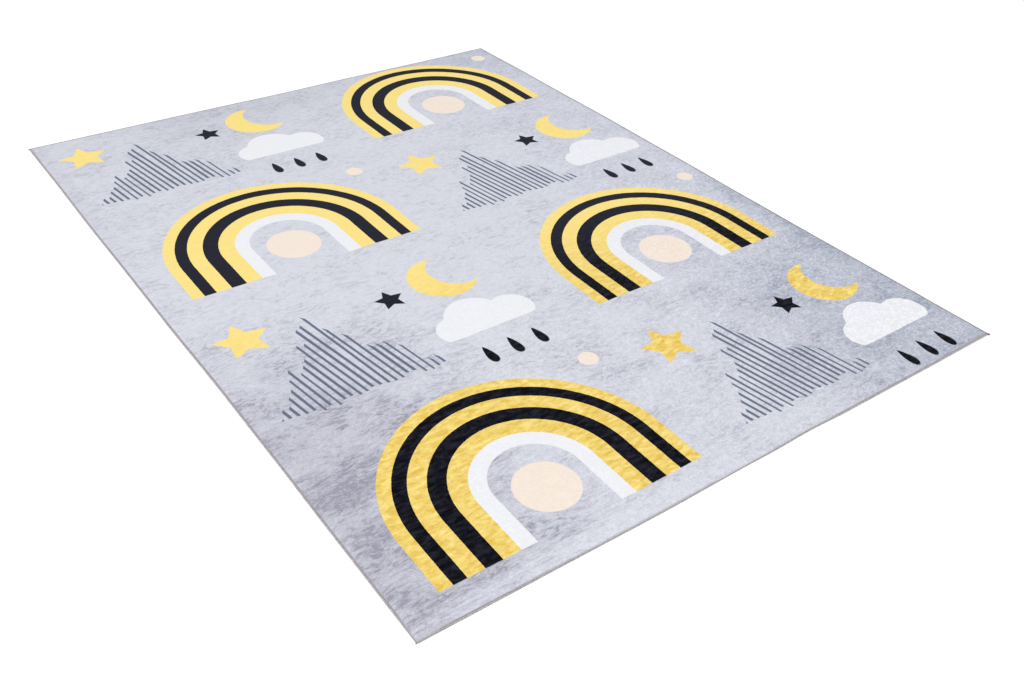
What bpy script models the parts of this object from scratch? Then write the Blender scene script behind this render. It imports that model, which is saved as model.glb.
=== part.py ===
# Printed kids' rug, 120 x 160 cm: one short-pile panel with overlock stitching round its four edges.
# Metres, +Z up. The origin is the middle of the underside, +Y runs to the far short edge
# and +X to the right, seen from the near short edge.
from collections import namedtuple
from math import cos, pi, radians, sqrt

import bmesh
import bpy

WIDTH = 1.200            # along X
LENGTH = 1.600           # along Y
THICKNESS = 0.005        # floor to the tips of the pile
PITCH = 0.050            # between the sections that follow an edge, and of the grid inside them
GAP = 0.0003             # left between neighbouring pieces

# Overlock stitching in section. It wraps the edge like a C, open towards the rug.
YARN = 0.0006            # thickness of the layer of yarn
WRAP = 0.0026            # how far it reaches in over the top and the underside
WRAP_HEIGHT = 0.0024     # about half the pile's height
SIDE_ROUND = 0.0007      # how far in the rounding of its outer side begins

# The panel's edge in section. The stitching presses it into a thin tongue, and the pile
# rises from beside it to its full height, steeply at first.
SHOULDER_HEIGHT = 0.0025       # of the pile right beside the stitching
SHOULDER_WIDTH = 0.0190        # over which it rises
STEEP_WIDTH = 0.0070           # of the steep part
STEEP_SHARE = 0.60             # of the rise, done by the end of the steep part
ROLL_INSET = 0.025             # line along which the border lifts where it rolls

# How far each side strays outwards from a straight line. The panel is cut and stitched by hand,
# so no side is true. One row for each station along the side, in metres; smooth in between.
LongSides = namedtuple("LongSides", "v left_out right_out")
LONG_SIDES = [
    LongSides(v=-0.8, left_out=0.0030, right_out=-0.0035),
    LongSides(v=-0.6, left_out=0.0020, right_out=-0.0015),
    LongSides(v=-0.4, left_out=0.0005, right_out=-0.0015),
    LongSides(v=-0.2, left_out=0.0005, right_out=0.0000),
    LongSides(v=0.0, left_out=0.0020, right_out=0.0025),
    LongSides(v=0.2, left_out=0.0020, right_out=0.0030),
    LongSides(v=0.4, left_out=0.0030, right_out=0.0020),
    LongSides(v=0.6, left_out=0.0020, right_out=0.0020),
    LongSides(v=0.8, left_out=0.0025, right_out=-0.0010),
]
ShortSides = namedtuple("ShortSides", "u front_out back_out")
SHORT_SIDES = [
    ShortSides(u=-0.6, front_out=0.0000, back_out=0.0015),
    ShortSides(u=-0.4, front_out=0.0005, back_out=0.0010),
    ShortSides(u=-0.2, front_out=0.0015, back_out=0.0005),
    ShortSides(u=0.0, front_out=-0.0010, back_out=-0.0020),
    ShortSides(u=0.2, front_out=-0.0015, back_out=0.0005),
    ShortSides(u=0.4, front_out=-0.0020, back_out=0.0000),
    ShortSides(u=0.6, front_out=-0.0035, back_out=0.0015),
]

# Low waves where the cloth hasn't settled on the floor: middle, rise, and half-sizes along X and Y.
Wave = namedtuple("Wave", "u v rise half_u half_v")
WAVES = [
    Wave(u=0.10, v=-0.800, rise=0.0018, half_u=0.17, half_v=0.20),       # hump in the near edge
    Wave(u=0.60, v=-0.800, rise=0.0008, half_u=0.14, half_v=0.14),       # near right corner
    Wave(u=-0.60, v=-0.800, rise=0.0010, half_u=0.14, half_v=0.14),      # near left corner
    Wave(u=-0.60, v=-0.200, rise=0.0015, half_u=0.13, half_v=0.24),      # left side
    Wave(u=0.60, v=0.300, rise=0.0010, half_u=0.12, half_v=0.22),        # right side
    Wave(u=-0.28, v=-0.775, rise=0.0012, half_u=0.30, half_v=0.030),     # roll of the near border
    Wave(u=0.32, v=-0.775, rise=0.0010, half_u=0.22, half_v=0.030),      # the same, past the hump
]

SAME_POINT = 0.000001          # points closer than this are one
SHARP_ANGLE = radians(50)      # edges that turn more than this stay crisp

PILE_COLOUR = (0.58, 0.58, 0.66, 1.0)
PILE_ROUGHNESS = 0.92
YARN_COLOUR = (0.38, 0.33, 0.33, 1.0)
YARN_ROUGHNESS = 0.85


def smooth_read(rows, place, column):
    # The value of a column at a place along the first column, eased from row to row.
    place = min(max(place, rows[0][0]), rows[-1][0])
    for low, high in zip(rows, rows[1:]):
        if place <= high[0]:
            share = (place - low[0]) / (high[0] - low[0])
            share = share * share * (3 - 2 * share)
            return getattr(low, column) * (1 - share) + getattr(high, column) * share


def swell(distance, half_size):
    # A round swell: 1 in its middle, 0 from half_size outwards.
    if abs(distance) >= half_size:
        return 0.0
    return (1 + cos(pi * distance / half_size)) / 2


def lift(u, v):
    return sum(w.rise * swell(u - w.u, w.half_u) * swell(v - w.v, w.half_v) for w in WAVES)


def lay(u, v, height):
    # Where a point of the flat, true cloth comes to lie on the floor.
    right = u / WIDTH + 0.5
    back = v / LENGTH + 0.5
    to_left = smooth_read(LONG_SIDES, v, "left_out") * (1 - right)
    to_right = smooth_read(LONG_SIDES, v, "right_out") * right
    to_front = smooth_read(SHORT_SIDES, u, "front_out") * (1 - back)
    to_back = smooth_read(SHORT_SIDES, u, "back_out") * back
    return (u - to_left + to_right, v - to_front + to_back, height + lift(u, v))


def stations(side_length, cut_back):
    # Places along a side: its two ends, cut back by a little, and every pitch between them.
    count = round(side_length / PITCH)
    end = side_length / 2 - cut_back
    return [-end] + [(i - count / 2) * PITCH for i in range(1, count)] + [end]


def ring(inset):
    # Points round the cloth at one distance in from its edge, anticlockwise from the near left corner.
    across = stations(WIDTH, inset)
    along = stations(LENGTH, inset)
    near = [(u, along[0]) for u in across[:-1]]
    right = [(across[-1], v) for v in along[:-1]]
    far = [(u, along[-1]) for u in reversed(across[1:])]
    left = [(across[0], v) for v in reversed(along[1:])]
    return near + right + far + left


def panel_section():
    # (inset, height) from the flat of the underside, round the tongue, to the full pile.
    body = WRAP + GAP
    tongue = (YARN + GAP, WRAP_HEIGHT - YARN - GAP)
    tongue_end = YARN + 2 * GAP
    steep_height = SHOULDER_HEIGHT + STEEP_SHARE * (THICKNESS - SHOULDER_HEIGHT)
    return [
        (PITCH, 0.0),
        (ROLL_INSET, 0.0),
        (body, 0.0),
        (body, tongue[0]),
        (tongue_end, tongue[0]),
        (tongue_end, tongue[1]),
        (body, tongue[1]),
        (body, SHOULDER_HEIGHT),
        (body + STEEP_WIDTH, steep_height),
        (body + SHOULDER_WIDTH, THICKNESS),
        (ROLL_INSET, THICKNESS),
        (PITCH, THICKNESS),
    ]


def overlock_section():
    # (inset, height) round the C, from its lower lip, round the outer side and back inside.
    corner = SIDE_ROUND / 3
    outer = [
        (WRAP, 0.0),
        (SIDE_ROUND, 0.0),
        (corner, corner),
        (0.0, SIDE_ROUND),
        (0.0, WRAP_HEIGHT - SIDE_ROUND),
        (corner, WRAP_HEIGHT - corner),
        (SIDE_ROUND, WRAP_HEIGHT),
        (WRAP, WRAP_HEIGHT),
    ]
    inner = [
        (WRAP, WRAP_HEIGHT - YARN),
        (YARN, WRAP_HEIGHT - YARN),
        (YARN, YARN),
        (WRAP, YARN),
    ]
    return outer + inner


def bridge(mesh, first, second):
    # A band of quads between two closed loops of the same count.
    count = len(first)
    for i in range(count):
        j = (i + 1) % count
        mesh.faces.new((first[i], first[j], second[j], second[i]))


def fill(mesh, height):
    # A grid of squares that meets the ring one pitch in from the edge, point for point.
    across = stations(WIDTH, PITCH)[1:-1]
    along = stations(LENGTH, PITCH)[1:-1]
    grid = [[mesh.verts.new(lay(u, v, height)) for u in across] for v in along]
    for near, far in zip(grid, grid[1:]):
        for i in range(len(across) - 1):
            mesh.faces.new((near[i], near[i + 1], far[i + 1], far[i]))


def finish_object(name, mesh, material):
    bmesh.ops.remove_doubles(mesh, verts=mesh.verts, dist=SAME_POINT)
    bmesh.ops.recalc_face_normals(mesh, faces=mesh.faces)
    data = bpy.data.meshes.new(name)
    mesh.to_mesh(data)
    mesh.free()
    data.shade_smooth()
    data.set_sharp_from_angle(angle=SHARP_ANGLE)
    data.materials.append(material)
    made = bpy.data.objects.new(name, data)
    bpy.context.collection.objects.link(made)
    return made


def build_panel(material):
    mesh = bmesh.new()
    rings = [
        [mesh.verts.new(lay(u, v, height)) for u, v in ring(inset)]
        for inset, height in panel_section()
    ]
    for lower, upper in zip(rings, rings[1:]):
        bridge(mesh, lower, upper)
    fill(mesh, 0.0)
    fill(mesh, THICKNESS)
    return finish_object("rug_panel", mesh, material)


def side_point(side, along, inset):
    if side == "front":
        return (along, inset - LENGTH / 2)
    if side == "back":
        return (along, LENGTH / 2 - inset)
    if side == "left":
        return (inset - WIDTH / 2, along)
    return (WIDTH / 2 - inset, along)


def build_overlock(side, material):
    # One run of stitching, mitred at both ends, with half the gap cut from each mitre.
    side_length = WIDTH if side in ("front", "back") else LENGTH
    mitre_gap = GAP / sqrt(2)
    mesh = bmesh.new()
    rows = []
    for inset, height in overlock_section():
        places = [side_point(side, along, inset) for along in stations(side_length, inset + mitre_gap)]
        rows.append([mesh.verts.new(lay(u, v, height)) for u, v in places])
    sections = [list(section) for section in zip(*rows)]
    for first, second in zip(sections, sections[1:]):
        bridge(mesh, first, second)
    mesh.faces.new(sections[0])
    mesh.faces.new(reversed(sections[-1]))
    return finish_object("overlock_" + side, mesh, material)


def cloth_material(name, colour, roughness):
    made = bpy.data.materials.new(name)
    made.use_nodes = True
    shader = made.node_tree.nodes["Principled BSDF"]
    shader.inputs["Base Color"].default_value = colour
    shader.inputs["Roughness"].default_value = roughness
    shader.inputs["Metallic"].default_value = 0.0
    return made


def main():
    for old in list(bpy.data.objects):
        bpy.data.objects.remove(old)
    build_panel(cloth_material("printed_pile", PILE_COLOUR, PILE_ROUGHNESS))
    yarn = cloth_material("overlock_yarn", YARN_COLOUR, YARN_ROUGHNESS)
    for side in ("front", "back", "left", "right"):
        build_overlock(side, yarn)


main()
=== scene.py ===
from math import cos, pi, radians, sin, sqrt

import bmesh
import bpy
import numpy as np
from mathutils import Matrix, Vector, noise


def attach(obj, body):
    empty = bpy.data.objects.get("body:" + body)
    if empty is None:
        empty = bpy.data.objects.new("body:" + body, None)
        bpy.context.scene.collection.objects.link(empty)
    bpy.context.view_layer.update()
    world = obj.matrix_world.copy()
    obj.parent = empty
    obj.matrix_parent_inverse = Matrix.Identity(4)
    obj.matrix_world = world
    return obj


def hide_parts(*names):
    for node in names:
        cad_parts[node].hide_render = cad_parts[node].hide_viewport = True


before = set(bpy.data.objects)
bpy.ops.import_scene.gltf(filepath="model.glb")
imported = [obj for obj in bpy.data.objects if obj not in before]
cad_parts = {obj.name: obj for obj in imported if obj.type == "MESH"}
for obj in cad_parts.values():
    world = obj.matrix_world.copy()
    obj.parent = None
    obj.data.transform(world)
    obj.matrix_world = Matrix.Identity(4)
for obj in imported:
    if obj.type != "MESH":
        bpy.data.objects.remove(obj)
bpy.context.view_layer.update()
print("frame loaded")

# Printed kids' rug: one short-pile panel, overlocked round its four edges. Metres, +Z up.
# u runs across the cloth as it was cut and v along it, both from its middle.
rug = {
    "width": 1.200,
    "length": 1.600,
    "thickness": 0.005,
    "stitchedBorder": 0.0026,   # how far in the overlock stitches reach
    "borderThickness": 0.0022,  # of the pile right beside them
    "borderRise": 0.020,        # over which it comes up to the full thickness
    "gridInset": 0.0066,        # the even grid of the pile side stops this far in from the edge
    "columns": 224,             # cells of the pile side, across and along
    "rows": 300,
    "backingStep": 4,           # cells of the pile side to one of the underside
    "reliefRise": 0.00022,      # unevenness of the brushed pile
    "reliefSize": 0.034,
    "fineTimes": 2.3,           # how many times smaller its fine part is, and its share of the rise
    "fineShare": 0.5,
    "fineSlice": 7,             # of the noise, so that it doesn't follow the broad part
}

# How far each side strays outwards from straight, at even stations from one end to the other.
sideDrift = {
    "left": (0.0030, 0.0020, 0.0005, 0.0005, 0.0020, 0.0020, 0.0030, 0.0020, 0.0025),
    "right": (-0.0035, -0.0015, -0.0015, 0.0000, 0.0025, 0.0030, 0.0020, 0.0020, -0.0010),
    "front": (0.0000, 0.0005, 0.0015, -0.0010, -0.0015, -0.0020, -0.0035),
    "back": (0.0015, 0.0010, 0.0005, -0.0020, 0.0005, 0.0000, 0.0015),
}

# A place on the near edge where the tight stitching draws it in.
nearDip = {"u": 0.125, "halfU": 0.085, "depth": 0.0018}

# Low waves where the cloth hasn't settled on the floor.
waves = [
    {"u": 0.10, "v": -0.800, "rise": 0.0018, "halfU": 0.17, "halfV": 0.20},    # hump in the near edge
    {"u": 0.60, "v": -0.800, "rise": 0.0008, "halfU": 0.14, "halfV": 0.14},    # near right corner
    {"u": -0.60, "v": -0.800, "rise": 0.0010, "halfU": 0.14, "halfV": 0.14},   # near left corner
    {"u": -0.60, "v": -0.200, "rise": 0.0015, "halfU": 0.13, "halfV": 0.24},   # left side
    {"u": 0.60, "v": 0.300, "rise": 0.0010, "halfU": 0.12, "halfV": 0.22},     # right side
    {"u": -0.28, "v": -0.775, "rise": 0.0012, "halfU": 0.30, "halfV": 0.030},  # roll of the near border
    {"u": 0.32, "v": -0.775, "rise": 0.0010, "halfU": 0.22, "halfV": 0.030},   # the same, past the hump
]


def drift(side, along, sideLength):
    # Outward stray of a side at places along it, eased from station to station.
    stations = np.array(sideDrift[side])
    place = np.clip(along / sideLength + 0.5, 0, 1) * (len(stations) - 1)
    low = np.minimum(place.astype(int), len(stations) - 2)
    share = place - low
    share = share * share * (3 - 2 * share)
    return stations[low] * (1 - share) + stations[low + 1] * share


def swell(distance, halfSize):
    # A round swell: 1 in its middle and 0 from halfSize outwards.
    return np.where(abs(distance) < halfSize, (1 + np.cos(pi * distance / halfSize)) / 2, 0)


def layCloth(u, v, height):
    # Where points of the flat, true cloth come to lie on the floor, as rows of x, y, z.
    right = u / rug["width"] + 0.5
    back = v / rug["length"] + 0.5
    dip = nearDip["depth"] * swell(u - nearDip["u"], nearDip["halfU"])
    frontDrift = drift("front", u, rug["width"]) - dip
    x = u - drift("left", v, rug["length"]) * (1 - right) + drift("right", v, rug["length"]) * right
    y = v - frontDrift * (1 - back) + drift("back", u, rug["width"]) * back
    z = height + sum(w["rise"] * swell(u - w["u"], w["halfU"]) * swell(v - w["v"], w["halfV"])
                     for w in waves)
    return np.stack([x, y, z], axis=-1)


def plug(tree, socket, value):
    # Another node's output is linked to the socket; anything else becomes its own value.
    if isinstance(value, bpy.types.NodeSocket):
        tree.links.new(value, socket)
    elif value is not None:
        socket.default_value = value


def addNode(tree, kind, *values, **settings):
    # A node with its settings; its visible inputs take the values in order.
    node = tree.nodes.new(kind)
    for name, value in settings.items():
        setattr(node, name, value)
    for socket, value in zip([s for s in node.inputs if s.enabled], values):
        plug(tree, socket, value)
    return node


def addNamed(tree, kind, inputs, **settings):
    # The same, with a dictionary of input name to value.
    node = addNode(tree, kind, **settings)
    for name, value in inputs.items():
        plug(tree, node.inputs[name], value)
    return node


def treeOf(*values):
    # The node tree that the first socket among the values belongs to.
    return next(value.id_data for value in values if isinstance(value, bpy.types.NodeSocket))


def calc(operation, *values):
    return addNode(treeOf(*values), "ShaderNodeMath", *values, operation=operation).outputs[0]


def product(first, *others):
    for other in others:
        first = calc("MULTIPLY", first, other)
    return first


def between(share, none, full):
    # none where the share is 0 and full where it is 1, in proportion.
    return calc("MULTIPLY_ADD", share, full - none, none)


def calcVector(operation, *values):
    node = addNode(treeOf(*values), "ShaderNodeVectorMath", *values, operation=operation)
    return next(s for s in node.outputs if s.enabled)


def splitVector(vector):
    return addNode(treeOf(vector), "ShaderNodeSeparateXYZ", vector).outputs


def splitColour(colour):
    return addNode(treeOf(colour), "ShaderNodeSeparateColor", colour).outputs


def joinVector(x, y, z=0.0):
    return addNode(treeOf(x, y, z), "ShaderNodeCombineXYZ", x, y, z).outputs[0]


def rescale(value, low, high, newLow=0.0, newHigh=1.0, kind="SMOOTHSTEP"):
    # The value's range low to high taken to newLow to newHigh, and held there outside it.
    node = addNode(treeOf(value), "ShaderNodeMapRange", value, low, high, newLow, newHigh,
                   interpolation_type=kind)
    return node.outputs[0]


def mixColours(share, first, second, blend="MIX"):
    node = addNode(treeOf(share, first, second), "ShaderNodeMix", share, first, second,
                   data_type="RGBA", blend_type=blend)
    return next(s for s in node.outputs if s.enabled)


def dimmed(colour, share):
    grey = addNode(treeOf(share), "ShaderNodeCombineColor", share, share, share).outputs[0]
    return mixColours(1.0, colour, grey, "MULTIPLY")


def noiseValue(place, scale, detail=2.0, roughness=0.5, distortion=0.0):
    inputs = {"Vector": place, "Scale": scale, "Detail": detail, "Roughness": roughness,
              "Distortion": distortion}
    return addNamed(treeOf(place), "ShaderNodeTexNoise", inputs).outputs["Fac"]


def noiseVector(place, scale, roughness=0.5):
    return addNode(treeOf(place), "ShaderNodeTexNoise", place, scale, 2.0, roughness).outputs["Color"]


def addBump(shader, height, strength, distance):
    tree = treeOf(height)
    bump = addNamed(tree, "ShaderNodeBump", {"Strength": strength, "Distance": distance, "Height": height})
    tree.links.new(bump.outputs["Normal"], shader.inputs["Normal"])


def newGroup(name, inputs, outputs, kind="ShaderNodeTree"):
    # A node group; inputs and outputs are dictionaries of socket name to type.
    tree = bpy.data.node_groups.new(name, kind)
    for way, sockets in (("INPUT", inputs), ("OUTPUT", outputs)):
        for socketName, socketType in sockets.items():
            tree.interface.new_socket(socketName, in_out=way, socket_type="NodeSocket" + socketType)
    return tree, tree.nodes.new("NodeGroupInput").outputs, tree.nodes.new("NodeGroupOutput").inputs


def newMaterial(name, roughness, specular=0.2, sheen=0.0, sheenRoughness=0.5):
    material = bpy.data.materials.new(name)
    material.use_nodes = True
    shader = material.node_tree.nodes["Principled BSDF"]
    shader.inputs["Roughness"].default_value = roughness
    shader.inputs["Specular IOR Level"].default_value = specular
    shader.inputs["Sheen Weight"].default_value = sheen
    shader.inputs["Sheen Roughness"].default_value = sheenRoughness
    return material, material.node_tree, shader


def addObject(name, data):
    made = bpy.data.objects.new(name, data)
    bpy.context.collection.objects.link(made)
    return made


# Stretches of the near edge where the stitching is drawn tighter: shares of the stitches' usual reach
# and height, and of the painted shade on the pile beside them.
tightStretches = [
    {"u": 0.04, "halfLength": 0.09, "fade": 0.09, "reach": 0.42, "height": 0.74, "groove": 0.05},
    {"u": -0.19, "halfLength": 0.12, "fade": 0.24, "reach": 0.68, "height": 0.88, "groove": 0.48},
    {"u": -0.60, "halfLength": 0.012, "fade": 0.045, "reach": 0.45, "height": 0.76, "groove": 0.20},
]


def tightened(place, what):
    # The least of the stretches' shares at a place, and 1 away from them.
    least = 1.0
    for stretch in tightStretches:
        away = calcVector("DISTANCE", place, (stretch["u"], -rug["length"] / 2, 0))
        fadeEnd = stretch["halfLength"] + stretch["fade"]
        share = rescale(away, stretch["halfLength"], fadeEnd, stretch[what], 1)
        least = calc("MINIMUM", least, share)
    return least


printLayout = {
    "dropWidth": 0.60,          # one drop of the repeat, across and along
    "dropLength": 0.80,
    "shiftV": 0.035,            # of the whole repeat along the cloth
    "inkBlur": 0.0006,          # half-width over which an ink fades out between fibres
    "fibreDrift": 0.0014,       # how raggedly fibres carry an ink over its outline
    "fibreScale": 260.0,
}
ink = {
    "yellow": (0.877, 0.700, 0.244, 1),
    "amber": (0.655, 0.430, 0.052, 1),    # where the pile takes more of the yellow
    "black": (0.001, 0.001, 0.003, 1),
    "navy": (0.019, 0.020, 0.031, 1),     # where it takes less of the black, and painted sheen on the black pile, most towards the far end
    "white": (0.765, 0.775, 0.810, 1),
    "pink": (0.810, 0.708, 0.616, 1),
    "slate": (0.125, 0.150, 0.215, 1),
}


def fromMiddle(place, middle):
    return calcVector("SUBTRACT", place, (*middle, 0))


def inked(distance):
    # 1 where the distance to an outline is below zero, with the soft rim of ink in pile.
    return rescale(distance, -printLayout["inkBlur"], printLayout["inkBlur"], 1, 0, "LINEAR")


def motifGroup(name, draw):
    # One motif: Place in, the share of ink out.
    tree, given, result = newGroup(name, {"Place": "Vector"}, {"Ink": "Float"})
    tree.links.new(draw(given["Place"]), result["Ink"])
    return tree


# The motifs, each with its middle from the middle of the drop.
disc = {"middle": (0.0, -0.235), "radius": 0.052}
dot = {"middle": (0.245, -0.030), "radius": 0.018}


def discDistance(place, middle, radius):
    return calc("SUBTRACT", calcVector("LENGTH", fromMiddle(place, middle)), radius)


def drawDisc(motif):
    return lambda place: inked(discDistance(place, motif["middle"], motif["radius"]))


arch = {
    "middle": (0.0, -0.215),
    "radius": 0.235,
    "opening": 0.075,           # radius of its opening
    "leg": 0.100,               # how far its legs run on below the middle
    # Where its bands begin, from the opening outwards, and their inks.
    "bands": [(0.0, "white"), (0.17, "yellow"), (0.36, "black"), (0.54, "yellow"), (0.72, "black"),
              (0.86, "yellow")],
}


def archRadius(place):
    # Across the half ring of the arch and, below it, across its legs.
    x, y, _ = splitVector(fromMiddle(place, arch["middle"]))
    above = calc("MAXIMUM", y, 0)
    return calc("SQRT", calc("MULTIPLY_ADD", x, x, product(above, above))), y


def drawArch(place):
    radius, y = archRadius(place)
    outside = calc("SUBTRACT", radius, arch["radius"])
    inside = calc("SUBTRACT", arch["opening"], radius)
    foot = calc("SUBTRACT", -arch["leg"], y)
    return inked(calc("MAXIMUM", calc("MAXIMUM", outside, inside), foot))


def archBands(place, yellow, black):
    # The ramp's red marks the yellow bands and its green the black ones.
    radius, _ = archRadius(place)
    share = rescale(radius, arch["opening"], arch["radius"], 0, 1, "LINEAR")
    ramp = addNode(treeOf(share), "ShaderNodeValToRGB", share)
    ramp.color_ramp.interpolation = "CONSTANT"
    marks = {"white": (0, 0, 0, 1), "yellow": (1, 0, 0, 1), "black": (0, 1, 0, 1)}
    while len(ramp.color_ramp.elements) < len(arch["bands"]):
        ramp.color_ramp.elements.new(1)
    for element, (start, bandInk) in zip(ramp.color_ramp.elements, arch["bands"]):
        element.position = start
        element.color = marks[bandInk]
    isYellow, isBlack, _ = splitColour(ramp.outputs["Color"])
    return mixColours(isBlack, mixColours(isYellow, ink["white"], yellow), black)


tent = {
    "foot": (-0.105, 0.085),
    "halfWidth": 0.165,
    "height": 0.265,
    "pitch": 0.0130,            # of its strokes
    "slant": radians(9),
    "stroke": 0.0048,           # width of a stroke, and how much of it varies
    "strokeVariation": 0.0024,
    "lean": 2.2,                # spread of their leans, in pitches for each metre of height
    "ragged": 0.028,            # how far a stroke may end short, at the top and at the foot
    "raggedFoot": 0.0168,
    "seed": 0.37,
}


def drawTent(place):
    # A triangle filled with hand-drawn strokes, each with its own lean, weight and ends.
    x, y, _ = splitVector(fromMiddle(place, tent["foot"]))
    slant, pitch = tent["slant"], tent["pitch"]
    across = calc("ADD", product(x, cos(slant)), product(y, sin(slant)))
    stroke = calc("DIVIDE", across, pitch)
    index = calc("ROUND", stroke)
    number = calc("ADD", index, tent["seed"])
    chance = addNode(treeOf(number), "ShaderNodeTexWhiteNoise", number, noise_dimensions="1D")
    lean, weight, ragged = splitColour(chance.outputs["Color"])
    leaning = product(y, tent["lean"], calc("SUBTRACT", lean, 0.5))
    fromStroke = calc("ADD", calc("SUBTRACT", stroke, index), leaning)
    offset = product(calc("ABSOLUTE", fromStroke), pitch)
    thin = (tent["stroke"] - tent["strokeVariation"] / 2) / 2
    halfWidth = between(weight, thin, thin + tent["strokeVariation"] / 2)
    halfBase, height = tent["halfWidth"], tent["height"]
    slope = sqrt(halfBase ** 2 + height ** 2)
    side = calc("ADD", product(calc("ABSOLUTE", x), height / slope),
                product(calc("SUBTRACT", y, height), halfBase / slope))
    shortened = calc("MULTIPLY_ADD", ragged, tent["ragged"], side)
    foot = calc("MULTIPLY_ADD", weight, tent["raggedFoot"], product(y, -1))
    outline = calc("MAXIMUM", shortened, foot)
    return inked(calc("MAXIMUM", calc("SUBTRACT", offset, halfWidth), outline))


cloud = {
    "middle": (0.165, 0.165),
    "size": 0.062,
    # Its round parts and its flat foot, in sizes: x, y and radius, and y.
    "puffs": [(-0.95, -0.12, 0.62), (-0.15, 0.18, 0.92), (0.95, -0.05, 0.70)],
    "foot": -0.52,
    "softJoin": 0.008,          # rounding between the puffs, and along the foot
    "softFoot": 0.010,
}


def drawCloud(place):
    size = cloud["size"]
    x, y = cloud["middle"]
    puffs = [discDistance(place, (x + right * size, y + up * size), radius * size)
             for right, up, radius in cloud["puffs"]]
    nearest = puffs[0]
    for puff in puffs[1:]:
        nearest = calc("SMOOTH_MIN", nearest, puff, cloud["softJoin"])
    foot = calc("SUBTRACT", y + cloud["foot"] * size, splitVector(place)["Y"])
    return inked(calc("SMOOTH_MAX", nearest, foot, cloud["softFoot"]))


drops = {
    "middle": (0.165, 0.070),
    "count": 3,                 # an odd number
    "pitch": 0.052,
    "halfWidth": 0.0115,
    "halfLength": 0.024,
    "fullness": 0.72,           # share of the half-width at its middle
    "taper": 0.38,              # and how much of it goes by the top
}


def drawDrops(place):
    # Small drops in a row, pointed at the top.
    x, y, _ = splitVector(fromMiddle(place, drops["middle"]))
    pitch, halfWidth = drops["pitch"], drops["halfWidth"]
    row = calc("SUBTRACT", calc("ABSOLUTE", x), drops["count"] / 2 * pitch)
    x = calc("WRAP", x, pitch / 2, -pitch / 2)
    tall = calc("DIVIDE", y, drops["halfLength"])
    narrowing = calc("MULTIPLY_ADD", tall, -drops["taper"], drops["fullness"])
    wide = calc("DIVIDE", x, product(narrowing, halfWidth))
    size = calc("SQRT", calc("MULTIPLY_ADD", wide, wide, product(tall, tall)))
    distance = product(calc("SUBTRACT", size, 1), halfWidth)
    return inked(calc("MAXIMUM", distance, row))


moon = {
    "middle": (0.175, 0.315),
    "radius": 0.066,
    "bite": (0.040, 0.016),     # middle of the bite, from the moon's
    "biteShare": 0.86,          # radius of the bite, as a share of the moon's
}


def drawMoon(place):
    x, y = moon["middle"]
    right, up = moon["bite"]
    whole = discDistance(place, (x, y), moon["radius"])
    bite = discDistance(place, (x + right, y + up), moon["radius"] * moon["biteShare"])
    return inked(calc("MAXIMUM", whole, product(bite, -1)))


bigStar = {"middle": (-0.215, 0.325), "radius": 0.052}
smallStar = {"middle": (0.055, 0.300), "radius": 0.030}
starWaist = 0.5                 # radius of a star's inner corners, as a share of its points'


def drawStar(star):
    # Five points: the plane is folded into half of one point, whose side is a straight line.
    def draw(place):
        moved = fromMiddle(place, star["middle"])
        x, y, _ = splitVector(moved)
        turn = calc("ABSOLUTE", calc("WRAP", calc("ARCTAN2", x, y), pi / 5, -pi / 5))
        length = calcVector("LENGTH", moved)
        waist = starWaist * star["radius"]
        reach, rise = star["radius"] - waist * cos(pi / 5), waist * sin(pi / 5)
        size = sqrt(reach ** 2 + rise ** 2)
        along = calc("SUBTRACT", product(length, calc("COSINE", turn)), star["radius"])
        off = product(length, calc("SINE", turn))
        return inked(calc("ADD", product(along, rise / size), product(off, reach / size)))
    return draw


def buildPrintGroup():
    # The ground's colour goes in and comes out with the motifs printed over it.
    # Depth is how much ink the pile has taken.
    tree, given, result = newGroup("nurseryPrint", {"Place": "Vector", "Ground": "Color", "Depth": "Float"},
                                   {"Color": "Color"})
    yellow = mixColours(given["Depth"], ink["yellow"], ink["amber"])
    # Towards the far end the black turns navy: partly less ink, partly painted sheen.
    shallow = calc("POWER", calc("SUBTRACT", 1, given["Depth"]), 2)
    black = mixColours(shallow, ink["black"], ink["navy"])
    wander = noiseVector(given["Place"], printLayout["fibreScale"], 0.6)
    fibreDrift = printLayout["fibreDrift"]
    offset = calcVector("MULTIPLY_ADD", wander, (fibreDrift,) * 3, (-fibreDrift / 2,) * 3)
    u, v, _ = splitVector(calcVector("ADD", given["Place"], offset))
    width, length = printLayout["dropWidth"], printLayout["dropLength"]
    column = calc("FLOOR", calc("DIVIDE", u, width))
    x = calc("WRAP", calc("SUBTRACT", u, width / 2), width / 2, -width / 2)
    halfDrop = calc("MULTIPLY_ADD", column, length / 2, printLayout["shiftV"])
    y = calc("WRAP", calc("ADD", v, halfDrop), length / 2, -length / 2)
    place = joinVector(x, y)
    drawn = [
        ("tent", drawTent, ink["slate"]),
        ("arch", drawArch, archBands(place, yellow, black)),
        ("disc", drawDisc(disc), ink["pink"]),
        ("cloud", drawCloud, ink["white"]),
        ("drops", drawDrops, black),
        ("moon", drawMoon, yellow),
        ("bigStar", drawStar(bigStar), yellow),
        ("smallStar", drawStar(smallStar), black),
        ("dot", drawDisc(dot), ink["pink"]),
    ]
    colour = given["Ground"]
    for name, draw, paint in drawn:
        stamp = addNode(tree, "ShaderNodeGroup", place, node_tree=motifGroup(name, draw))
        colour = mixColours(stamp.outputs["Ink"], colour, paint)
    tree.links.new(colour, result["Color"])
    return tree


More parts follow.
